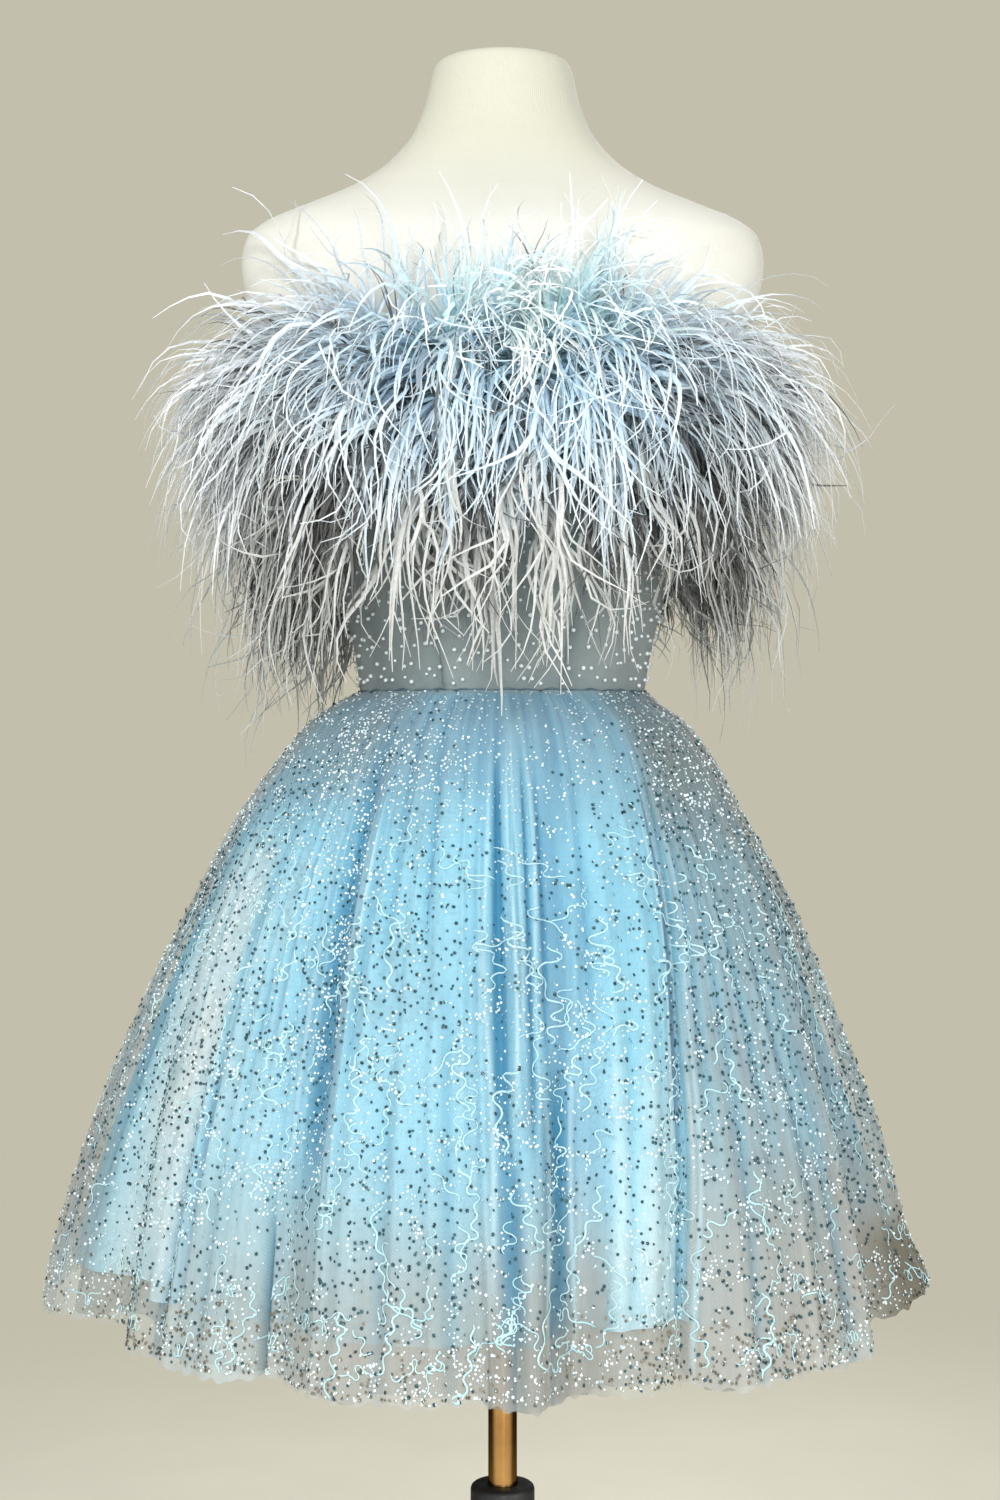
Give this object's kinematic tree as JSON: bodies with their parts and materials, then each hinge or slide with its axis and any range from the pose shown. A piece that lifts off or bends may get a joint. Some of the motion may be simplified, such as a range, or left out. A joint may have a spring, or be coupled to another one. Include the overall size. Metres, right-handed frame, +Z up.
{
  "type": "homecoming dress on a dress form",
  "caption": "Strapless short dress with an ostrich fringe bodice and a gathered skirt of sequinned tulle, on a limbless dress form with an adjustable floor stand.",
  "frame": {"origin": "on the floor, at the centre of the stand's round base and on the axis of its pole", "axes": "+Z up along the pole, the front of the dress faces -Y, +X to the viewer's right when the front is seen"},
  "size_m": [0.669, 0.6823, 1.53],
  "materials": {
    "sequin_tulle": "sheer net with scattered sequins",
    "satin": "satin",
    "net": "sheer stiff net",
    "bodice_cloth": "sequinned tulle over a backing",
    "feather": "soft matte strands",
    "zip_tape": "matte woven tape",
    "zip_metal": "polished",
    "form_jersey": "matte knitted jersey",
    "brass": "brushed",
    "black_metal": "semi-gloss black"
  },
  "bodies": {
    "stand": {"stand_base": "black_metal", "stand_tube": "black_metal", "stand_collar": "black_metal"},
    "knob": {"clamp_knob": "black_metal"},
    "pole": {"pole": "brass"},
    "form": {"form_flange": "black_metal", "dress_form": "form_jersey", "bodice_centre_front": "bodice_cloth", "bodice_side_front_left": "bodice_cloth", "bodice_side_front_right": "bodice_cloth", "bodice_back_left": "bodice_cloth", "bodice_back_right": "bodice_cloth", "fringe_top": "feather", "fringe_middle": "feather", "fringe_bottom": "feather", "skirt_overlay_front": "sequin_tulle", "skirt_overlay_back_left": "sequin_tulle", "skirt_overlay_back_right": "sequin_tulle", "skirt_satin_front": "satin", "skirt_satin_back_left": "satin", "skirt_satin_back_right": "satin", "skirt_petticoat_front": "net", "skirt_petticoat_back_left": "net", "skirt_petticoat_back_right": "net", "zip": "zip_tape", "zip_slider": "zip_metal"},
    "pull": {"pull_tab": "zip_metal"}
  },
  "joints": [
    {"name": "height", "type": "slide", "parent": "stand", "child": "pole", "axis": [0, 0, 1], "range_m": [-0.1, 0.15]},
    {"name": "turn", "type": "hinge", "parent": "pole", "child": "form", "pos_m": [0, 0, 0.74], "axis": [0, 0, 1], "continuous": true},
    {"name": "clamp", "type": "hinge", "parent": "stand", "child": "knob", "pos_m": [0, 0.04, 0.378], "axis": [0, 1, 0], "range_deg": [-180, 0]},
    {"name": "pull_swing", "type": "hinge", "parent": "form", "child": "pull", "pos_m": [0, 0.10687, 1.2342], "axis": [1, 0, 0], "range_deg": [0, 110]}
  ]
}
